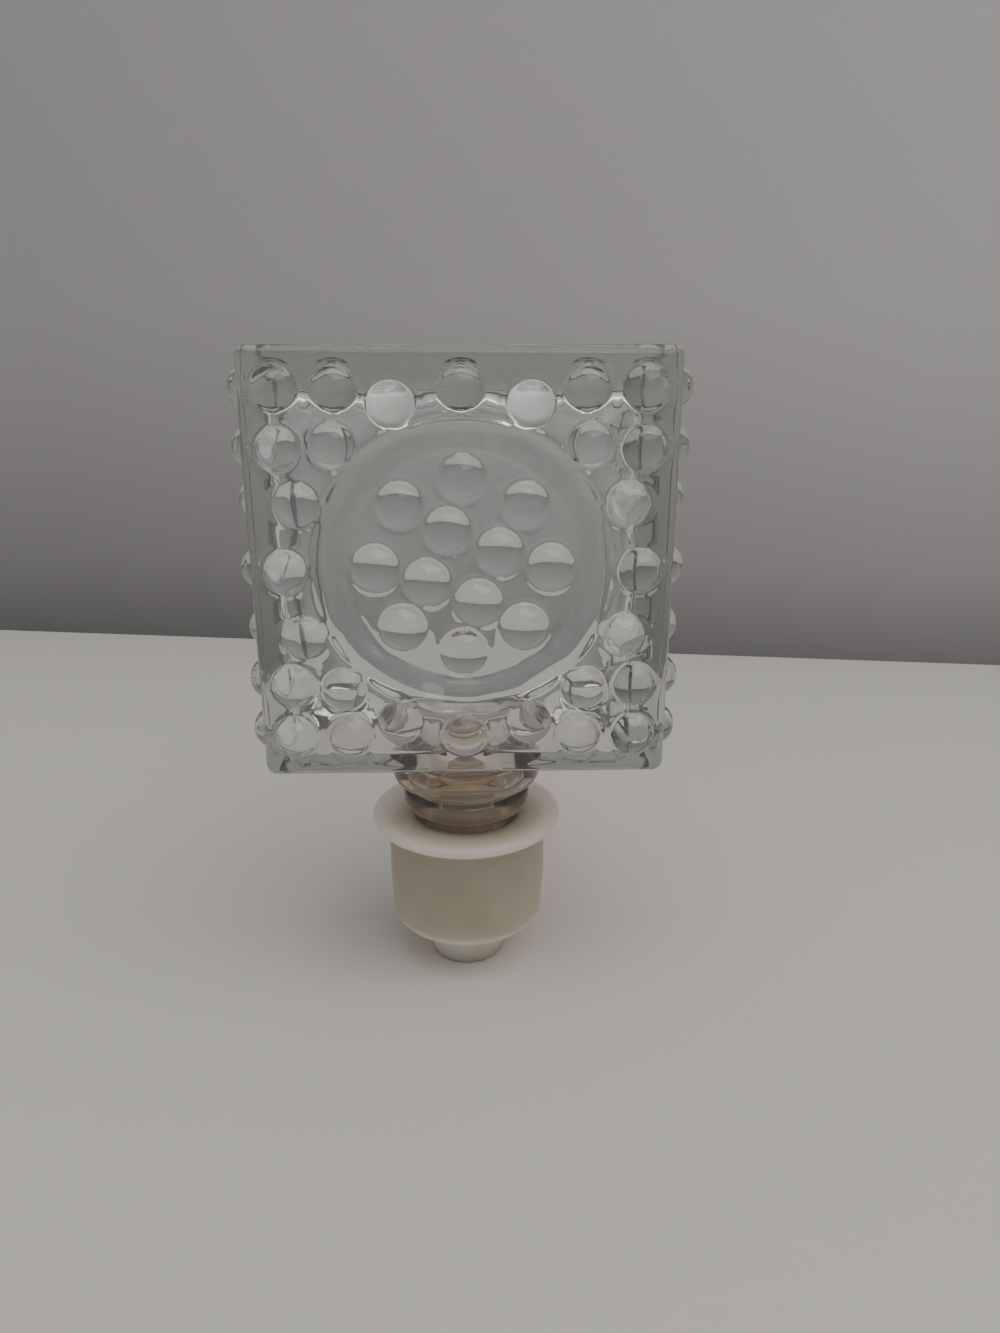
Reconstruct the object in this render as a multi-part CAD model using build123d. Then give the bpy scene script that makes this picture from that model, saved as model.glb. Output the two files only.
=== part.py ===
from build123d import *
import os
from math import acos, atan, cos, degrees, pi, radians, sin

# A decanter stopper: one blown piece of clear glass with a square hollow head, its peg in a plastic collar.
# The origin is the middle of the collar's foot, +Z is up and the front of the head looks along -Y.

# Glass head
head_width = 43.3
head_height = 44.65
head_depth = 20.0
head_edge_round = 1.2

# Hollow inside the head, by the glass left round it, and the bore that leads from it down the peg
wall_front = 3.6
wall_back = 3.0
wall_left = 2.1
wall_right = 3.3
wall_top = 4.4
wall_bottom = 1.5
hollow_round = 2.0
bore_mouth_radius = 5.4
bore_radius = 4.6
peg_wall = 1.6

# Round bosses, in a border on the front and again along the front edge of each side face
boss_radius = 2.25
boss_height = 1.5
boss_root = 0.4
border_side_inset = 3.65
border_top_inset = 4.0
border_bottom_inset = 4.65
second_share = 0.68
third_share = 0.38
third_line_share = 0.913
inner_share = 0.70
side_row_inset = 3.2
side_third_inset = 4.8

# Round medallion sunk into the front
medallion_rim_radius = 15.6
medallion_floor_radius = 12.2
medallion_depth = 2.0
medallion_boss_radius = 2.45
medallion_ring_radius = 9.1
medallion_ring_count = 8
medallion_core_radius = 4.1
medallion_core_count = 4
medallion_core_turn = 22.5

# Glass neck and peg, from the peg's open end up
peg_end_radius = 5.2
peg_end_round = 0.5
neck_radius = 6.4
neck_height = 0.5
bead_radius = 7.45
bead_height = 2.9
groove_radius = 6.9
groove_height = 0.7
shoulder_radius = 8.7
shoulder_height = 4.55
shoulder_round = 1.2

# Plastic collar, a closed cup on a short foot
foot_radius = 4.5
foot_round = 0.6
foot_height = 5.1
cup_floor = 1.6
collar_height = 14.3
collar_radius = 9.35
collar_end_radius = 9.0
collar_end_round = 1.5
collar_seal_height = 7.0
flange_radius = 11.2
flange_height = 1.2
flange_round = 0.5
lip_width = 1.4
dish_depth = 0.35
fit_gap = 0.05

# Flats round each boss and steps up its dome, and steps that stand for each round stretch of a turned outline
boss_sides = 14
boss_steps = 3
round_steps = 2

# Places that follow
collar_top = foot_height + collar_height
cup_bottom = foot_height + cup_floor
peg_end = cup_bottom + fit_gap
bead_bottom = collar_top + neck_height
bead_top = bead_bottom + bead_height
shoulder_bottom = bead_top + groove_height
head_bottom = shoulder_bottom + shoulder_height
head_middle = head_bottom + head_height / 2
face_y = -head_depth / 2
reach_x = head_width / 2 - border_side_inset
reach_z = (head_height - border_top_inset - border_bottom_inset) / 2
pattern_middle = head_bottom + border_bottom_inset + reach_z


def turned(points):
    # A solid turned about the Z axis from a closed outline of (radius, height) points.
    outline = Polyline([(radius, 0, height) for radius, height in points], close=True)
    return revolve(make_face(outline), Axis.Z)


def rounded(centre, radius, start_angle, end_angle):
    # Points of an arc in an outline, with angles in degrees from the outward direction.
    points = []
    for step in range(round_steps + 1):
        angle = radians(start_angle + (end_angle - start_angle) * step / round_steps)
        points.append((centre[0] + radius * cos(angle), centre[1] + radius * sin(angle)))
    return points


def peg_radius(height):
    # The peg widens evenly from its rounded end to the neck.
    start = peg_end + peg_end_round
    rise_share = (height - start) / (collar_top - start)
    return peg_end_radius + (neck_radius - peg_end_radius) * rise_share


def head_block():
    block = Box(head_width, head_depth, head_height)
    return Pos(0, 0, head_middle) * fillet(block.edges(), head_edge_round)


def head_hollow():
    width = head_width - wall_left - wall_right
    depth = head_depth - wall_front - wall_back
    height = head_height - wall_top - wall_bottom
    room = Box(width, depth, height)
    room = fillet(room.edges().filter_by(Axis.Y), hollow_round)
    shift_x = (wall_left - wall_right) / 2
    shift_y = (wall_front - wall_back) / 2
    shift_z = (wall_bottom - wall_top) / 2
    return Pos(shift_x, shift_y, head_middle + shift_z) * room


def medallion():
    # The sunk disc: a level floor and a sloped band that reaches its rim at the face and runs on past it.
    band_width = medallion_rim_radius - medallion_floor_radius
    disc = Cone(medallion_floor_radius, medallion_rim_radius + band_width, 2 * medallion_depth)
    return Pos(0, face_y, pattern_middle) * Rot(90, 0, 0) * disc


def boss_rings(radius):
    # Radius and height of each ring of a shallow dome, from its foot to its small level crown.
    crown_share = 1 / (boss_steps + 1)
    ball_radius = (radius**2 + boss_height**2) / (2 * boss_height)
    ball_height = boss_height - ball_radius
    foot_angle = acos(-ball_height / ball_radius)
    rings = []
    for step in range(boss_steps + 1):
        angle = foot_angle * (1 - (1 - crown_share) * step / boss_steps)
        rings.append((ball_radius * sin(angle), ball_height + ball_radius * cos(angle)))
    return rings


def boss(radius):
    # The dome stands on the XY plane and points up, with a short root below the plane.
    flat_share = cos(pi / boss_sides)
    dome = extrude(RegularPolygon(radius, boss_sides), amount=-boss_root)
    rings = boss_rings(radius)
    for (low_radius, low), (high_radius, high) in zip(rings, rings[1:]):
        lean = degrees(atan((low_radius - high_radius) * flat_share / (high - low)))
        ring = Pos(0, 0, low) * RegularPolygon(low_radius, boss_sides)
        dome += extrude(ring, amount=high - low, taper=lean)
    return dome


def border_places():
    # One quarter of the border, mirrored to the other three, and the middles of the four edges.
    quarter_shares = [
        (1, 1),
        (second_share, 1),
        (1, second_share),
        (third_share, third_line_share),
        (third_line_share, third_share),
        (inner_share, inner_share),
    ]
    places = [(0, reach_z), (0, -reach_z), (reach_x, 0), (-reach_x, 0)]
    for share_x, share_z in quarter_shares:
        for side in (-1, 1):
            for level in (-1, 1):
                places.append((side * share_x * reach_x, level * share_z * reach_z))
    return places


def circle_places(radius, count, turn):
    angles = [radians(turn + 360 * index / count) for index in range(count)]
    return [(radius * cos(angle), radius * sin(angle)) for angle in angles]


def medallion_places():
    ring = circle_places(medallion_ring_radius, medallion_ring_count, 0)
    core = circle_places(medallion_core_radius, medallion_core_count, medallion_core_turn)
    return ring + core


def side_places():
    # Distance behind the face and height in the row along the front edge.
    places = [(side_row_inset, 0)]
    for level in (-1, 1):
        places.append((side_row_inset, level * reach_z))
        places.append((side_row_inset, level * second_share * reach_z))
        places.append((side_third_inset, level * third_share * reach_z))
    return places


def front_bosses():
    border_boss = boss(boss_radius)
    medallion_boss = boss(medallion_boss_radius)
    domes = []
    for x, z in border_places():
        domes.append(Pos(x, face_y, pattern_middle + z) * Rot(90, 0, 0) * border_boss)
    for x, z in medallion_places():
        place = Pos(x, face_y + medallion_depth, pattern_middle + z)
        domes.append(place * Rot(90, 0, 0) * medallion_boss)
    return domes


def side_bosses():
    side_boss = boss(boss_radius)
    domes = []
    for inset, z in side_places():
        for side in (-1, 1):
            place = Pos(side * head_width / 2, face_y + inset, pattern_middle + z)
            domes.append(place * Rot(0, side * 90, 0) * side_boss)
    return domes


def bead_points():
    # A round bead that swells from the neck and falls back to the groove.
    arc = ThreePointArc(
        (neck_radius, bead_bottom),
        (bead_radius, bead_bottom + bead_height / 2),
        (groove_radius, bead_top),
    )
    steps = 2 * round_steps
    places = [arc @ (step / steps) for step in range(steps + 1)]
    return [(place.X, place.Y) for place in places]


def neck_and_peg():
    end_centre = (peg_end_radius - peg_end_round, peg_end + peg_end_round)
    end = rounded(end_centre, peg_end_round, -90, 0)
    groove = [(groove_radius, shoulder_bottom)]
    shoulder_centre = (shoulder_radius - shoulder_round, shoulder_bottom + shoulder_round)
    shoulder = rounded(shoulder_centre, shoulder_round, -90, 0)
    top = head_bottom + wall_bottom / 2
    peg = [(0, peg_end)] + end + [(neck_radius, collar_top)]
    return turned(peg + bead_points() + groove + shoulder + [(shoulder_radius, top), (0, top)])


def peg_bore():
    # Opens into the head like the mouth of a bottle, and runs down to the open end of the peg.
    floor = head_bottom + wall_bottom
    room = floor + hollow_round
    bottom = peg_end - fit_gap
    end_radius = peg_end_radius - peg_wall
    wide = [(bore_mouth_radius, floor), (bore_mouth_radius, room)]
    return turned([(0, bottom), (end_radius, bottom), (bore_radius, bead_bottom)] + wide + [(0, room)])


def glass_stopper():
    body = head_block() - medallion()
    body = body + front_bosses() + side_bosses()
    body = body + neck_and_peg()
    return body - (head_hollow() + peg_bore())


def sealing_collar():
    flange_bottom = collar_top - flange_height
    flange_inside = flange_radius - flange_round
    bore_top_radius = neck_radius + fit_gap
    bore_end_radius = peg_radius(cup_bottom) + fit_gap
    foot = [(0, 0)] + rounded((foot_radius - foot_round, foot_round), foot_round, -90, 0)
    end_centre = (collar_end_radius - collar_end_round, foot_height + collar_end_round)
    end = [(foot_radius, foot_height)] + rounded(end_centre, collar_end_round, -90, 0)
    body = [(collar_radius, flange_bottom - collar_seal_height), (collar_radius, flange_bottom)]
    under_rim = rounded((flange_inside, flange_bottom + flange_round), flange_round, -90, 0)
    over_rim = rounded((flange_inside, collar_top - flange_round), flange_round, 0, 90)
    dish = [(flange_radius - lip_width, collar_top), (bore_top_radius, collar_top - dish_depth)]
    cup = [(bore_end_radius, cup_bottom), (0, cup_bottom)]
    return turned(foot + end + body + under_rim + over_rim + dish + cup)


os.makedirs("parts", exist_ok=True)
export_step(glass_stopper(), "parts/glass_stopper.step")
export_step(sealing_collar(), "parts/sealing_collar.step")
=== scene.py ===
import bmesh
import bpy
import math
from mathutils import Matrix, Vector, noise


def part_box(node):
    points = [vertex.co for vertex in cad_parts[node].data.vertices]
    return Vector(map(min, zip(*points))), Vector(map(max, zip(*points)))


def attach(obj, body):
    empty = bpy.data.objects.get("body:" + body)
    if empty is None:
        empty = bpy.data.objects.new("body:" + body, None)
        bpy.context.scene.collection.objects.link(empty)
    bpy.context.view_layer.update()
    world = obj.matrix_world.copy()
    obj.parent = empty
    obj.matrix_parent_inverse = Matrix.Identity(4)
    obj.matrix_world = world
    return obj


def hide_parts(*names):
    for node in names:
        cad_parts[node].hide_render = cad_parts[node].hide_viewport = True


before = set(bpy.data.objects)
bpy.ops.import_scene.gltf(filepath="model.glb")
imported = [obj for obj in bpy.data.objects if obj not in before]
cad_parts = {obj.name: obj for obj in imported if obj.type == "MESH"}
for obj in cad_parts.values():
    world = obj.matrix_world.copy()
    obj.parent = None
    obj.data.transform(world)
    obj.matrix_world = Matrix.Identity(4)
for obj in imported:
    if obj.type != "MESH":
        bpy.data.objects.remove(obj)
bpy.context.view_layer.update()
print("frame loaded:", ", ".join(sorted(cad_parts)))

mm = 0.001
sharpAngle = 52  # degrees, an edge that turns more than this stays crisp
touch = 1e-7  # metres, points closer than this are one
close = 1e-6  # metres, points closer than this are on one line or level
glassLow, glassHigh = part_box("glass_stopper")
collarLow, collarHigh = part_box("sealing_collar")


# Mesh helpers

def spinOutline(bm, points, steps):
    # turn an outline of (radius, height) in millimetres about the upright axis
    verts = [bm.verts.new((radius * mm, 0, height * mm)) for radius, height in points]
    edges = [bm.edges.new(pair) for pair in zip(verts, verts[1:])]
    bmesh.ops.spin(bm, geom=verts + edges, cent=(0, 0, 0), axis=(0, 0, 1), dvec=(0, 0, 0),
                   angle=math.tau, steps=steps, use_merge=True)
    bmesh.ops.remove_doubles(bm, verts=bm.verts[:], dist=touch)


def roundRing(bm, radius, height, width, segments):
    # round off the ring of edges at this radius and height
    def onRing(vert):
        return abs(vert.co.xy.length - radius * mm) < close and abs(vert.co.z - height * mm) < close
    ring = [edge for edge in bm.edges if all(onRing(vert) for vert in edge.verts)]
    bmesh.ops.bevel(bm, geom=ring, offset=width * mm, offset_type="OFFSET", segments=segments,
                    profile=0.5, affect="EDGES", clamp_overlap=True, material=-1)


def boxWithRoundEdges(bm, low, high, edgeRound, segments):
    size = high - low
    place = Matrix.Translation((low + high) / 2) @ Matrix.Diagonal((*size, 1))
    bmesh.ops.create_cube(bm, size=1, matrix=place)
    bmesh.ops.bevel(bm, geom=bm.edges[:], offset=edgeRound, offset_type="OFFSET", segments=segments,
                    profile=0.5, affect="EDGES", clamp_overlap=True, material=-1)


def cutAlong(bm, axis, shortest, lastY, cuts):
    # cut every edge in front of lastY that runs along this axis and is longer than the shortest
    runs = []
    for edge in bm.edges:
        step = edge.verts[1].co - edge.verts[0].co
        inFront = max(vert.co.y for vert in edge.verts) < lastY + close
        if inFront and abs(step[axis]) > shortest and abs(step[axis]) > 0.99 * step.length:
            runs.append(edge)
    bmesh.ops.subdivide_edges(bm, edges=runs, cuts=cuts)


def levelFaces(bm, axis, level):
    return [face for face in bm.faces
            if all(abs(vert.co[axis] - level) < touch for vert in face.verts)]


def shadeSmooth(bm):
    bmesh.ops.recalc_face_normals(bm, faces=bm.faces[:])
    for face in bm.faces:
        face.smooth = True


def openEdges(bm):
    return sum(1 for edge in bm.edges if not edge.is_manifold)


def makePiece(name, bm, node, material):
    mesh = bpy.data.meshes.new(name)
    bm.to_mesh(mesh)
    bm.free()
    mesh.set_sharp_from_angle(angle=math.radians(sharpAngle))
    mesh.materials.append(material)
    piece = bpy.data.objects.new(name, mesh)
    bpy.context.scene.collection.objects.link(piece)
    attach(piece, "root")
    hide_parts(node)
    print(name, "made with", len(mesh.polygons), "faces")


# Material helpers

def newMaterial(name):
    material = bpy.data.materials.new(name)
    material.use_nodes = True
    nodes = material.node_tree.nodes
    return material, nodes, material.node_tree.links, nodes["Principled BSDF"]


def addPlace(nodes, links):
    # the object's own coordinates, whole and split
    place = nodes.new("ShaderNodeTexCoord").outputs["Object"]
    split = nodes.new("ShaderNodeSeparateXYZ")
    links.new(place, split.inputs["Vector"])
    return place, split.outputs


def addNoise(nodes, links, place, scale, detail):
    cloud = nodes.new("ShaderNodeTexNoise")
    cloud.inputs["Scale"].default_value = scale
    cloud.inputs["Detail"].default_value = detail
    links.new(place, cloud.inputs["Vector"])
    return cloud.outputs["Fac"]


def addRange(nodes, links, value, source, target):
    # spread one range of values over another
    spread = nodes.new("ShaderNodeMapRange")
    for socket, number in zip(("From Min", "From Max", "To Min", "To Max"), (*source, *target)):
        spread.inputs[socket].default_value = number
    links.new(value, spread.inputs["Value"])
    return spread.outputs["Result"]


def addRamp(nodes, links, value, stops):
    ramp = nodes.new("ShaderNodeValToRGB")
    marks = ramp.color_ramp.elements
    while len(marks) < len(stops):
        marks.new(0.5)
    for mark, (position, colour) in zip(marks, stops):
        mark.position = position
        mark.color = colour
    links.new(value, ramp.inputs["Fac"])
    return ramp.outputs["Color"]


def addProduct(nodes, links, first, second):
    product = nodes.new("ShaderNodeMath")
    product.operation = "MULTIPLY"
    links.new(first, product.inputs[0])
    links.new(second, product.inputs[1])
    return product.outputs["Value"]


def addTone(nodes, links, colour, factor):
    # a colour made lighter or darker
    tone = nodes.new("ShaderNodeVectorMath")
    tone.operation = "SCALE"
    links.new(colour, tone.inputs["Vector"])
    links.new(factor, tone.inputs["Scale"])
    return tone.outputs["Vector"]


def addBump(nodes, links, height, strength, depth):
    bump = nodes.new("ShaderNodeBump")
    bump.inputs["Strength"].default_value = strength
    bump.inputs["Distance"].default_value = depth
    links.new(height, bump.inputs["Height"])
    return bump


# Glass: finish

glassLook = {
    "ior": 1.5,
    "tint": (0.48, 0.50, 0.42, 1), "tintDensity": 34.0,
    "waves": ((120, 1.5, 0.00004), (380, 1, 0.00003)),  # scale, detail and depth
    "smearScale": 260, "smearDetail": 4, "smearRange": (0.5, 0.8), "roughRange": (0.0, 0.03),
    "stain": (0.56, 0.43, 0.29, 1),
    "stainHeights": (0.0295, 0.0270),  # none above the first, all of it below the second
    "stainStreaks": (60, 60, 900), "stainDetail": 3, "stainRange": (0.25, 0.62),
    "clearness": (0.96, 0.86),  # without the stain and with it
}


def blownGlass():
    material, nodes, links, shader = newMaterial("blownGlass")
    shader.inputs["IOR"].default_value = glassLook["ior"]
    place, along = addPlace(nodes, links)
    # a brown film in streaks round the neck and peg, which also clouds the glass
    stretch = nodes.new("ShaderNodeMapping")
    stretch.inputs["Scale"].default_value = glassLook["stainStreaks"]
    links.new(place, stretch.inputs["Vector"])
    streak = addNoise(nodes, links, stretch.outputs["Vector"], 1, glassLook["stainDetail"])
    low = addRange(nodes, links, along["Z"], glassLook["stainHeights"], (0, 1))
    share = addProduct(nodes, links, low, streak)
    clean, stained = glassLook["stainRange"]
    stain = addRamp(nodes, links, share, ((clean, (1, 1, 1, 1)), (stained, glassLook["stain"])))
    links.new(stain, shader.inputs["Base Color"])
    clearness = addRange(nodes, links, share, glassLook["stainRange"], glassLook["clearness"])
    links.new(clearness, shader.inputs["Transmission Weight"])
    # slow waves left by the mould, and finer ripples on top
    (slowScale, slowDetail, slowDepth), (fineScale, fineDetail, fineDepth) = glassLook["waves"]
    slow = addBump(nodes, links, addNoise(nodes, links, place, slowScale, slowDetail), 1, slowDepth)
    fine = addBump(nodes, links, addNoise(nodes, links, place, fineScale, fineDetail), 1, fineDepth)
    links.new(slow.outputs["Normal"], fine.inputs["Normal"])
    links.new(fine.outputs["Normal"], shader.inputs["Normal"])
    # faint smears
    smear = addNoise(nodes, links, place, glassLook["smearScale"], glassLook["smearDetail"])
    rough = addRange(nodes, links, smear, glassLook["smearRange"], glassLook["roughRange"])
    links.new(rough, shader.inputs["Roughness"])
    # a faint green cast where the glass is thick
    body = nodes.new("ShaderNodeVolumeAbsorption")
    body.inputs["Color"].default_value = glassLook["tint"]
    body.inputs["Density"].default_value = glassLook["tintDensity"]
    links.new(body.outputs["Volume"], nodes["Material Output"].inputs["Volume"])
    return material


# Glass: shape, in millimetres

glass = {
    "headWidth": 43.3, "headDepth": 20.0, "headHeight": 44.65, "edgeRound": 1.2, "edgeSegments": 6,
    "frontCuts": 202, "sideReach": 8.5, "sideCuts": 30, "reliefEdge": 0.98,
    # bosses
    "bossRadius": 2.2, "medallionBossRadius": 2.4, "bossJoinShare": 0.92, "bossBlend": 0.12,
    "moatDepth": 0.18, "moatSpan": 0.3, "moatOffset": 0.22,
    "sideInset": 3.65, "topInset": 4.0, "bottomInset": 4.65,
    "secondShare": 0.68, "thirdShare": 0.38, "thirdLineShare": 0.913, "innerShare": 0.70,
    "sideRowInset": 3.2, "sideThirdInset": 4.8,
    # medallion
    "medallionRim": 15.6, "medallionFloor": 12.2, "medallionDepth": 2.0, "medallionBlend": 0.12,
    "lipHeight": 0.2, "lipSpan": 0.38,
    "ringRadius": 9.1, "ringCount": 8, "coreRadius": 4.1, "coreCount": 4, "coreTurn": 22.5,
    # hollow, by the glass left round it
    "wallFront": 3.0, "wallBack": 3.0, "wallLeft": 2.1, "wallRight": 3.3,
    "wallTop": 4.4, "wallBottom": 1.5,
    "hollowRound": 0.9, "hollowSegments": 6, "hollowCuts": ((0, 80), (2, 80), (1, 22)),  # axis and cuts
    "rearRound": 5.5, "frontRound": 3.2, "leftRoundShare": 0.3, "floorRoundStart": 2.0, "floorRoundSpan": 5.0,
    "slopeDepth": 4.0, "slopeRise": 2.9, "slopeSpan": 2.6,
    "hollowWave": 0.12, "hollowWaveSpan": 9.0, "hollowWaveSeed": 3,
    "bossFollow": 0.15, "sinkFollow": 0.95, "sinkMiddle": 14.2, "sinkSoftness": 0.57,
    "sinkBulge": 0.7, "sinkCorner": 0.2, "sinkSteepness": (0.55, 1.0),
    # neck and peg
    "mouthRadius": 5.7, "mouthDrop": 3.4, "mouthSteps": 8,
    "boreRadius": 4.1, "boreWave": 0.25, "boreWaves": 2, "boreSteps": 14,
    "pegWall": 1.6, "pegEndRadius": 5.2, "pegEndRound": 0.5, "neckRadius": 6.4,
    "beadRadius": 7.45, "beadHeight": 2.9, "beadSteps": 8, "grooveRadius": 6.9, "grooveHeight": 0.7,
    "shoulderRadius": 8.7, "shoulderHeight": 4.55, "shoulderRound": 1.2, "spinSteps": 128,
}
headTop = glassHigh.z / mm
headBottom = headTop - glass["headHeight"]
headMiddle = headTop - glass["headHeight"] / 2
hollowFloor = headBottom + glass["wallBottom"]
pegEnd = glassLow.z / mm
shoulderBottom = headBottom - glass["shoulderHeight"]
faceY = -glass["headDepth"] / 2
# the CAD bosses reach this far
bossHeight = (glassHigh.x - glassLow.x) / mm / 2 - glass["headWidth"] / 2


def smoothMax(a, b, blend):
    near = max(blend - abs(a - b), 0) / blend
    return max(a, b) + near * near * blend / 4


def within(value, low, high):
    return min(max(value, low), high)


def bossRise(distance, radius):
    # a ball's cap that runs on as a straight flank
    ball = (radius ** 2 + bossHeight ** 2) / (2 * bossHeight)
    join = radius * glass["bossJoinShare"]
    if distance < join:
        return math.sqrt(ball ** 2 - distance ** 2) - (ball - bossHeight)
    joinRise = math.sqrt(ball ** 2 - join ** 2)
    return joinRise - (ball - bossHeight) - (distance - join) * join / joinRise


def ringPlaces(radius, count, turn):
    angles = [math.radians(turn + 360 * index / count) for index in range(count)]
    return [(radius * math.cos(angle), radius * math.sin(angle)) for angle in angles]


# one quarter of the border is mirrored to the other three
reachX = glass["headWidth"] / 2 - glass["sideInset"]
reachZ = (glass["headHeight"] - glass["topInset"] - glass["bottomInset"]) / 2
patternMiddle = headBottom + glass["bottomInset"] + reachZ
second, third = glass["secondShare"], glass["thirdShare"]
line, inner = glass["thirdLineShare"], glass["innerShare"]
borderBosses = [(0, reachZ), (0, -reachZ), (reachX, 0), (-reachX, 0)]
for shareX, shareZ in ((1, 1), (second, 1), (1, second), (third, line), (line, third), (inner, inner)):
    x, z = shareX * reachX, shareZ * reachZ
    borderBosses += [(-x, -z), (-x, z), (x, -z), (x, z)]
medallionBosses = ringPlaces(glass["ringRadius"], glass["ringCount"], 0)
medallionBosses += ringPlaces(glass["coreRadius"], glass["coreCount"], glass["coreTurn"])
sideBosses = [(glass["sideRowInset"], 0)]
for level in (-1, 1):
    sideBosses.append((glass["sideRowInset"], level * reachZ))
    sideBosses.append((glass["sideRowInset"], level * second * reachZ))
    sideBosses.append((glass["sideThirdInset"], level * third * reachZ))


def withBosses(level, u, v, places, radius, floor):
    # each boss stands crisp in a shallow moat
    gaps = [math.hypot(u - bossU, v - bossV) for bossU, bossV in places]
    near = [gap for gap in gaps if gap < 2 * radius]
    if near:
        beyond = (min(near) - radius - glass["moatOffset"]) / glass["moatSpan"]
        level -= glass["moatDepth"] * math.exp(-beyond * beyond)
    for gap in near:
        level = smoothMax(level, floor + bossRise(gap, radius), glass["bossBlend"])
    return level


def frontLevel(x, up, level):
    # height of the front's relief above its flat face, with the sunk medallion
    rim, floor, depth = glass["medallionRim"], glass["medallionFloor"], glass["medallionDepth"]
    radius = math.hypot(x, up)
    if radius < rim + 1:
        band = smoothMax(depth / (rim - floor) * (radius - rim), -depth, glass["medallionBlend"])
        level = -smoothMax(-band, -level, glass["medallionBlend"])
        # a fine lip runs round the rim and round the floor
        for edge in (rim, floor):
            level += glass["lipHeight"] * math.exp(-((radius - edge) / glass["lipSpan"]) ** 2)
    if radius < floor + 1:
        return withBosses(level, x, up, medallionBosses, glass["medallionBossRadius"], -depth)
    return withBosses(level, x, up, borderBosses, glass["bossRadius"], 0)


def raiseRelief(bm):
    # the front and the sides, up to just inside their rounded edges
    halfWidth = glass["headWidth"] / 2
    edge = glass["edgeRound"] * glass["reliefEdge"]
    for vert in bm.verts:
        x, y, z = vert.co / mm
        up = z - patternMiddle
        if y < faceY + edge:
            vert.co.y = (faceY - frontLevel(x, up, faceY - y)) * mm
        if abs(x) > halfWidth - edge and y < faceY + glass["sideReach"]:
            level = withBosses(abs(x) - halfWidth, y - faceY, up, sideBosses, glass["bossRadius"], 0)
            vert.co.x = math.copysign((halfWidth + level) * mm, x)


def addHead(bm):
    half = Vector((glass["headWidth"] / 2, glass["headDepth"] / 2, glass["headHeight"] / 2)) * mm
    middle = Vector((0, 0, headMiddle)) * mm
    boxWithRoundEdges(bm, middle - half, middle + half, glass["edgeRound"] * mm, glass["edgeSegments"])
    # a fine grid on the front and the front part of both sides
    reach = Vector((0, faceY + glass["sideReach"], 0)) * mm
    bmesh.ops.bisect_plane(bm, geom=bm.verts[:] + bm.edges[:] + bm.faces[:], dist=touch,
                           plane_co=reach, plane_no=(0, 1, 0))
    cutAlong(bm, 1, 2 * mm, reach.y, glass["sideCuts"])
    cutAlong(bm, 0, 10 * mm, reach.y, glass["frontCuts"])
    cutAlong(bm, 2, 10 * mm, reach.y, glass["frontCuts"])
    bmesh.ops.delete(bm, geom=levelFaces(bm, 2, headBottom * mm), context="FACES")
    raiseRelief(bm)


def neckOutline():
    # from the mouth in the hollow's floor down the bore, round the peg's end, up to the head's underside
    beadTop = shoulderBottom - glass["grooveHeight"]
    beadBottom = beadTop - glass["beadHeight"]
    mouth, bore, neck, groove = (glass[key + "Radius"] for key in ("mouth", "bore", "neck", "groove"))
    points = []
    for step in range(glass["mouthSteps"] + 1):
        angle = math.pi / 2 * step / glass["mouthSteps"]
        drop = glass["mouthDrop"] * (1 - math.cos(angle))
        points.append((mouth - (mouth - bore) * math.sin(angle), hollowFloor - drop))
    # the bore swells and narrows with the rings outside
    top, steps = points[-1][1], glass["boreSteps"]
    for step in range(1, steps + 1):
        swing = glass["boreWave"] * math.sin(math.tau * glass["boreWaves"] * step / steps)
        points.append((bore - swing, top + (beadBottom - top) * step / steps))
    points += [(glass["pegEndRadius"] - glass["pegWall"], pegEnd), (glass["pegEndRadius"], pegEnd)]
    points += [(neck, collarHigh.z / mm), (neck, beadBottom)]
    swell = glass["beadRadius"] - (neck + groove) / 2
    for step in range(1, glass["beadSteps"]):
        share = step / glass["beadSteps"]
        rise = swell * math.sqrt(max(1 - (2 * share - 1) ** 2, 0))
        points.append((neck + (groove - neck) * share + rise, beadBottom + glass["beadHeight"] * share))
    points += [(groove, beadTop), (groove, shoulderBottom)]
    points += [(glass["shoulderRadius"], shoulderBottom), (glass["shoulderRadius"], headBottom)]
    return points


def frontShift(x, up):
    # the blown inside dimples softly behind the bosses
    pull = 0
    for bossX, bossZ in borderBosses + medallionBosses:
        gap = math.hypot(x - bossX, up - bossZ) / glass["bossRadius"]
        pull += bossHeight * math.exp(-gap * gap)
    # it swells behind the medallion, thicker and with a steeper edge towards the bottom
    rim, floor = glass["medallionRim"], glass["medallionFloor"]
    radius = math.hypot(x, up)
    corner = glass["sinkCorner"]
    even = -smoothMax(-smoothMax((rim - radius) / (rim - floor), 0, corner), -1, corner)
    steep = 1 / (1 + math.exp((radius - glass["sinkMiddle"]) / glass["sinkSoftness"]))
    steepness = within(0.5 - up / floor, *glass["sinkSteepness"])
    sink = glass["sinkFollow"] * glass["medallionDepth"] + glass["sinkBulge"] * (min(up, 0) / floor) ** 2
    return glass["bossFollow"] * pull - sink * (even + steepness * (steep - even))


def roundOff(gap, bend):
    # share of the bend that a quarter circle takes off at this distance from its end
    turn = within(1 - gap / bend, 0, 1)
    return 1 - math.sqrt(1 - turn * turn)


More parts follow.
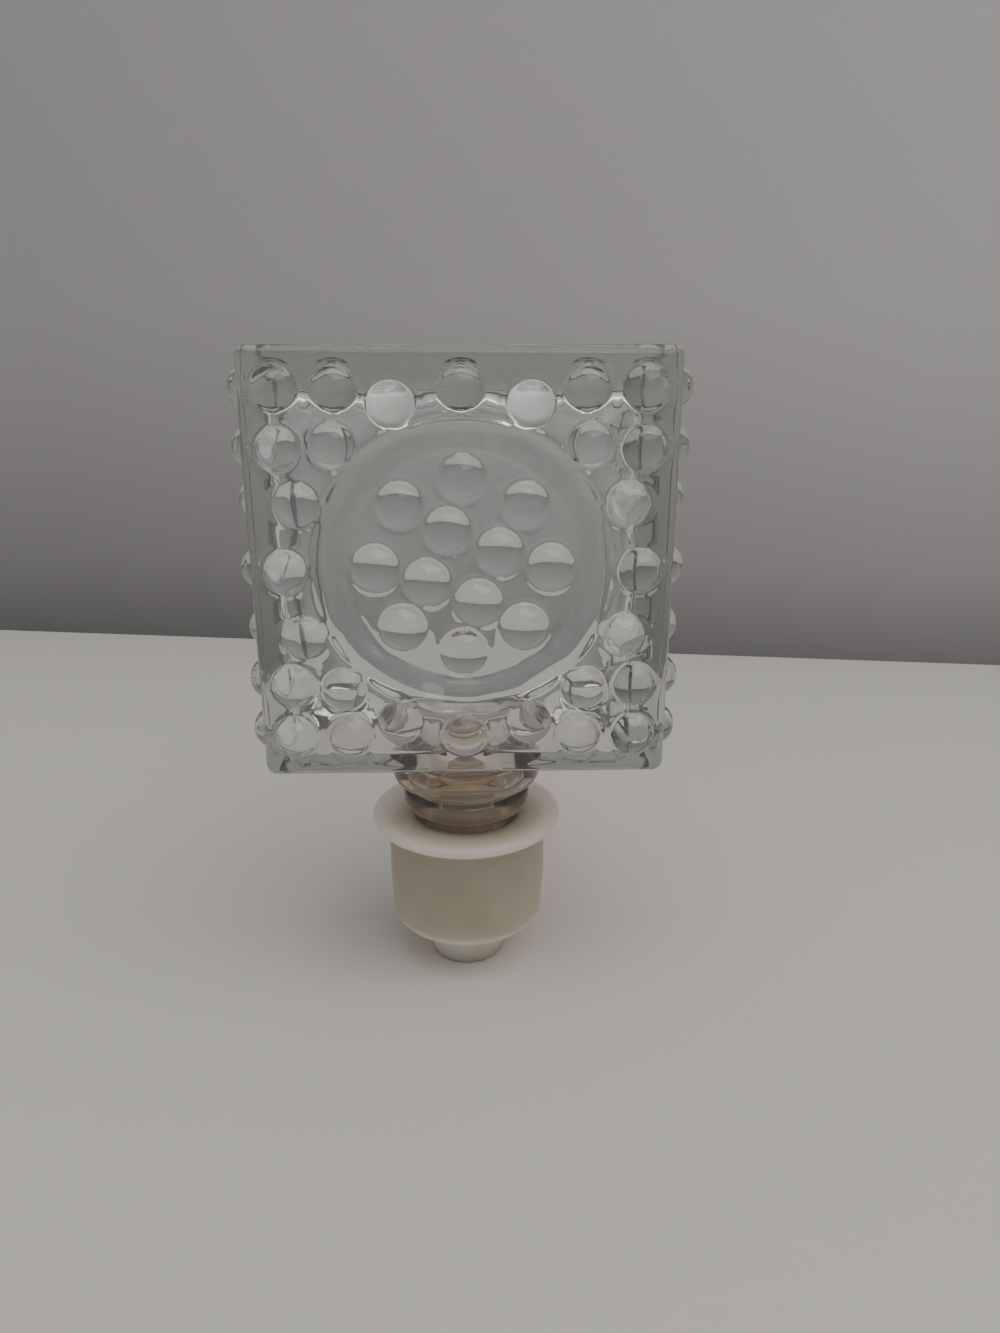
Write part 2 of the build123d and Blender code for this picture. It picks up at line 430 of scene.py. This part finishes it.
def hollowRoom():
    halfWidth, halfDepth = glass["headWidth"] / 2, glass["headDepth"] / 2
    floor, roof = hollowFloor, headTop - glass["wallTop"]
    front, rear = glass["wallFront"] - halfDepth, halfDepth - glass["wallBack"]
    left, right = glass["wallLeft"] - halfWidth, halfWidth - glass["wallRight"]
    room = bmesh.new()
    boxWithRoundEdges(room, Vector((left, front, floor)) * mm, Vector((right, rear, roof)) * mm,
                      glass["hollowRound"] * mm, glass["hollowSegments"])
    for axis, cuts in glass["hollowCuts"]:
        cutAlong(room, axis, 4 * mm, rear * mm, cuts)
    # open the floor round the mouth
    window = [face for face in levelFaces(room, 2, floor * mm)
              if abs(face.calc_center_median().x) < (glass["mouthRadius"] + 1) * mm]
    bmesh.ops.delete(room, geom=window, context="FACES")
    centreX, centreZ = (left + right) / 2, (floor + roof) / 2
    noise.seed_set(glass["hollowWaveSeed"])
    for vert in room.verts:
        x, y, z = vert.co / mm
        hold = within((z - floor) / glass["hollowRound"], 0, 1)
        shift = noise.noise_vector(vert.co / mm / glass["hollowWaveSpan"]) * glass["hollowWave"] * hold
        sideShare = (glass["leftRoundShare"] if x < centreX else 1) * (x - centreX) / (right - left) * 2
        heightShare = (z - centreZ) / (roof - floor) * 2
        # the sides and the roof turn into the back in a round, and so does the floor beside the mouth
        rise = glass["rearRound"] * roundOff(rear - y, glass["rearRound"])
        beside = abs(x) - glass["mouthRadius"] - glass["floorRoundStart"]
        aside = within(beside / glass["floorRoundSpan"], 0, 1)
        shift.x -= rise * sideShare
        shift.z -= rise * (1 if z > centreZ else aside) * heightShare
        # a smaller round leads into the front, but not at the floor
        rise = glass["frontRound"] * roundOff(y - front, glass["frontRound"])
        shift.x -= rise * sideShare
        if z > centreZ:
            # a straight slope behind the two bosses that hang below the top row
            near = math.exp(-((abs(x) - third * reachX) / glass["slopeSpan"]) ** 4)
            slope = glass["slopeRise"] * within(1 - (y - front) / glass["slopeDepth"], 0, 1)
            shift.z -= (rise + near * (slope - rise)) * heightShare
        depthShare = (rear - y) / (rear - front)
        shift.y -= frontShift(x + shift.x, z + shift.z - patternMiddle) * depthShare
        vert.co += shift * mm
    shell = bpy.data.meshes.new("hollowShell")
    room.to_mesh(shell)
    room.free()
    return shell


def boundaryAt(bm, level):
    return [edge for edge in bm.edges if edge.is_boundary
            and all(abs(vert.co.z - level) < close for vert in edge.verts)]


def glassMesh():
    bm = bmesh.new()
    addHead(bm)
    room = hollowRoom()
    bm.from_mesh(room)
    bpy.data.meshes.remove(room)
    spinOutline(bm, neckOutline(), glass["spinSteps"])
    roundRing(bm, glass["pegEndRadius"], pegEnd, glass["pegEndRound"], 4)
    roundRing(bm, glass["shoulderRadius"], shoulderBottom, glass["shoulderRound"], 6)
    # close the underside round the shoulder, and the hollow's floor round the mouth
    for level in (headBottom, hollowFloor):
        bmesh.ops.triangle_fill(bm, use_beauty=True, edges=boundaryAt(bm, level * mm), normal=(0, 0, -1))
    shadeSmooth(bm)
    # the big flat faces stay flat
    for axis, level in ((1, glass["headDepth"] / 2), (2, headTop), (2, headBottom), (2, hollowFloor)):
        for face in levelFaces(bm, axis, level * mm):
            face.smooth = False
    print("glass edges left open:", openEdges(bm))
    return bm


makePiece("glassStopper", glassMesh(), "glass_stopper", blownGlass())


# Plastic collar, in millimetres

collar = {
    "footRadius": 4.5, "footRound": 0.6, "footHeight": 5.1, "footCorner": 0.4, "cupFloor": 1.6,
    "radius": 9.35, "endRadius": 9.0, "endRound": 1.5, "sealHeight": 7.0,
    "flangeHeight": 1.2, "flangeRound": 0.5, "flangeCorner": 0.3, "lipWidth": 1.4, "dishDepth": 0.35,
    "gap": 0.05, "spinSteps": 128,
}
collarLook = {
    "colour": (0.375, 0.322, 0.25, 1), "stain": (0.32, 0.272, 0.20, 1), "stainRange": (0.35, 0.85),
    "cloudScale": 160, "cloudDetail": 5, "rough": (0.38, 0.55),
    "grainScale": 1400, "grainDetail": 2, "grainStrength": 0.25, "grainDepth": 0.00004,
    # the foot and flange factors are painted light, which makes those parts lighter in colour
    "footPaintedLight": 2.3, "flangePaintedLight": 1.4, "glow": 1.0, "glowReach": (0.020, 0.020, 0.020), "ior": 1.46,
}


def milkyPlastic():
    material, nodes, links, shader = newMaterial("milkyPlastic")
    place, along = addPlace(nodes, links)
    cloud = addNoise(nodes, links, place, collarLook["cloudScale"], collarLook["cloudDetail"])
    clean, stained = collarLook["stainRange"]
    colours = ((clean, collarLook["colour"]), (stained, collarLook["stain"]))
    colour = addRamp(nodes, links, cloud, colours)
    # painted light: the foot and the flange are made lighter in colour, for light that shines through the
    # thin plastic and through the glass above, and that falls on the flange's top
    footTop = collar["footHeight"] * mm
    footEnd = (footTop, footTop + collar["endRound"] * mm)
    foot = addRange(nodes, links, along["Z"], footEnd, (collarLook["footPaintedLight"], 1))
    flangeBottom = collarHigh.z - collar["flangeHeight"] * mm
    flangeStart = (flangeBottom - collar["flangeHeight"] * mm, flangeBottom)
    flange = addRange(nodes, links, along["Z"], flangeStart, (1, collarLook["flangePaintedLight"]))
    paintedLight = addProduct(nodes, links, foot, flange)
    links.new(addTone(nodes, links, colour, paintedLight), shader.inputs["Base Color"])
    links.new(addRange(nodes, links, cloud, (0, 1), collarLook["rough"]), shader.inputs["Roughness"])
    grain = addNoise(nodes, links, place, collarLook["grainScale"], collarLook["grainDetail"])
    bump = addBump(nodes, links, grain, collarLook["grainStrength"], collarLook["grainDepth"])
    links.new(bump.outputs["Normal"], shader.inputs["Normal"])
    shader.inputs["Subsurface Weight"].default_value = collarLook["glow"]
    shader.inputs["Subsurface Radius"].default_value = collarLook["glowReach"]
    shader.inputs["Subsurface Scale"].default_value = 1
    shader.inputs["IOR"].default_value = collarLook["ior"]
    return material


def collarMesh():
    # from the middle of the foot, up the outside, over the flange and down the bore to the cup's floor
    top, flangeRadius = collarHigh.z / mm, min(collarHigh.xy) / mm
    bottom = collar["footHeight"]
    flangeBottom = top - collar["flangeHeight"]
    cupBottom = bottom + collar["cupFloor"]
    boreTop = glass["neckRadius"] + collar["gap"]
    boreEnd = glass["pegEndRadius"] + collar["gap"]
    points = [
        (0, 0), (collar["footRadius"], 0), (collar["footRadius"], bottom), (collar["endRadius"], bottom),
        (collar["radius"], flangeBottom - collar["sealHeight"]), (collar["radius"], flangeBottom),
        (flangeRadius, flangeBottom), (flangeRadius, top), (flangeRadius - collar["lipWidth"], top),
        (boreTop, top - collar["dishDepth"]), (boreEnd, cupBottom), (0, cupBottom),
    ]
    bm = bmesh.new()
    spinOutline(bm, points, collar["spinSteps"])
    roundRing(bm, collar["footRadius"], 0, collar["footRound"], 4)
    roundRing(bm, collar["footRadius"], bottom, collar["footCorner"], 3)
    roundRing(bm, collar["endRadius"], bottom, collar["endRound"], 6)
    roundRing(bm, flangeRadius, flangeBottom, collar["flangeRound"], 4)
    roundRing(bm, flangeRadius, top, collar["flangeRound"], 4)
    roundRing(bm, collar["radius"], flangeBottom, collar["flangeCorner"], 3)
    shadeSmooth(bm)
    print("collar edges left open:", openEdges(bm))
    return bm


makePiece("sealingCollar", collarMesh(), "sealing_collar", milkyPlastic())


# Table, wall, light and camera

studio = {
    "planeSize": 1.5, "planeRoughness": 0.8, "tableColour": (0.56, 0.54, 0.50, 1),
    "wallDistance": 0.125, "wallTurn": -8.2, "wallTint": (1, 0.965, 0.95),
    # height and painted shade: darker at the wall's foot, much lighter high up for the ceiling light
    "wallPaintedShades": ((0.0, 0.155), (0.022, 0.262), (0.059, 0.352), (0.08, 0.39), (0.15, 0.405), (0.22, 0.75)),
    # painted light: the wall's colour grows lighter to the right
    "wallSpan": (-0.1, 0.1), "wallPaintedSideLight": (0.90, 1.20),
    "lampPlace": (0.35, -0.35, 1.3), "lampAim": (0, 0, 0.03), "lampSize": 1.5, "lampPower": 13.6,
    "lampColour": (1.0, 0.97, 0.93),
    "skyColour": (0.86, 0.88, 0.93, 1), "skyStrength": 0.6,
    "cameraPlace": (0.00105, -0.10931, 0.07417), "cameraTilt": 18.716, "cameraTurn": 1.566,
    "lens": 27.0, "sensor": 36,
}


def stagePlane(name, place):
    material, nodes, links, shader = newMaterial(name + "Paint")
    shader.inputs["Roughness"].default_value = studio["planeRoughness"]
    bm = bmesh.new()
    bmesh.ops.create_grid(bm, x_segments=1, y_segments=1, size=studio["planeSize"], matrix=place)
    mesh = bpy.data.meshes.new(name)
    bm.to_mesh(mesh)
    bm.free()
    mesh.materials.append(material)
    plane = bpy.data.objects.new(name, mesh)
    bpy.context.scene.collection.objects.link(plane)
    return nodes, links, shader


def paintWallLightAndShade(nodes, links, shader):
    # painted shade and light: the wall is darker towards the table, lighter to the right where the light
    # comes from, and lighter high up under the ceiling light
    along = addPlace(nodes, links)[1]
    top = studio["wallPaintedShades"][-1][0]
    height = addRange(nodes, links, along["Z"], (0, top), (0, 1))
    red, green, blue = studio["wallTint"]
    stops = [(level / top, (shade * red, shade * green, shade * blue, 1))
             for level, shade in studio["wallPaintedShades"]]
    wallSideLight = addRange(nodes, links, along["X"], studio["wallSpan"], studio["wallPaintedSideLight"])
    tone = addTone(nodes, links, addRamp(nodes, links, height, stops), wallSideLight)
    links.new(tone, shader.inputs["Base Color"])


tablePaint = stagePlane("table", Matrix.Identity(4))[2]
tablePaint.inputs["Base Color"].default_value = studio["tableColour"]
wallPlace = Matrix.Translation((0, studio["wallDistance"], 0))
wallPlace = wallPlace @ Matrix.Rotation(math.radians(studio["wallTurn"]), 4, "Z")
wallPlace = wallPlace @ Matrix.Rotation(math.radians(90), 4, "X")
paintWallLightAndShade(*stagePlane("wall", wallPlace))

lamp = bpy.data.lights.new("ceilingLight", "AREA")
lamp.size = studio["lampSize"]
lamp.energy = studio["lampPower"]
lamp.color = studio["lampColour"]
ceilingLight = bpy.data.objects.new("ceilingLight", lamp)
ceilingLight.location = studio["lampPlace"]
lampAim = Vector(studio["lampAim"]) - Vector(studio["lampPlace"])
ceilingLight.rotation_euler = lampAim.to_track_quat("-Z", "Y").to_euler()
bpy.context.scene.collection.objects.link(ceilingLight)

world = bpy.data.worlds.new("room")
world.use_nodes = True
sky = world.node_tree.nodes["Background"]
sky.inputs["Color"].default_value = studio["skyColour"]
sky.inputs["Strength"].default_value = studio["skyStrength"]
bpy.context.scene.world = world

cameraData = bpy.data.cameras.new("camera")
cameraData.sensor_width = studio["sensor"]
cameraData.lens = studio["lens"]
cameraData.clip_start = 0.001
camera = bpy.data.objects.new("camera", cameraData)
camera.location = studio["cameraPlace"]
camera.rotation_euler = (math.radians(90 - studio["cameraTilt"]), 0, -math.radians(studio["cameraTurn"]))
bpy.context.scene.collection.objects.link(camera)
bpy.context.scene.camera = camera
print("studio ready")
